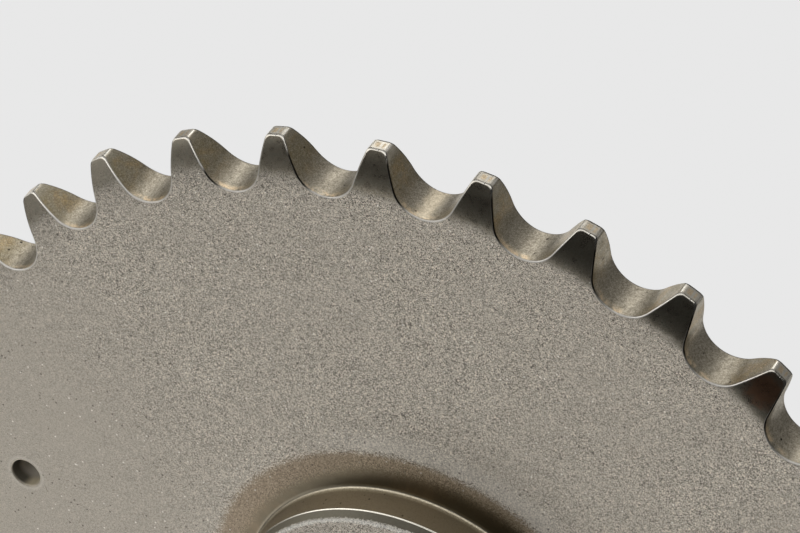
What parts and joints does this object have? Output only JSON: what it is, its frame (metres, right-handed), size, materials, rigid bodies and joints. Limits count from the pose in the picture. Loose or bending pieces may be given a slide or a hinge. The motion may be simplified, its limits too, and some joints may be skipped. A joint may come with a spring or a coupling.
{
  "type": "chain sprocket",
  "caption": "Single-strand roller chain sprocket: flat steel plate wheel with relieved teeth and a low hub with a plain bore on one side.",
  "frame": {"origin": "centre of the back face, on the bore axis", "axes": "+Z along the bore axis, from the flat back face towards the hub's end face; +X through the small hole and the tooth gap in line with it"},
  "size_m": [0.1426, 0.143, 0.011],
  "materials": {
    "steel": "blasted matt grey steel faces, smooth cut teeth and turned hub with burnished edges"
  },
  "bodies": {
    "root": {"sprocket": "steel"}
  },
  "joints": []
}
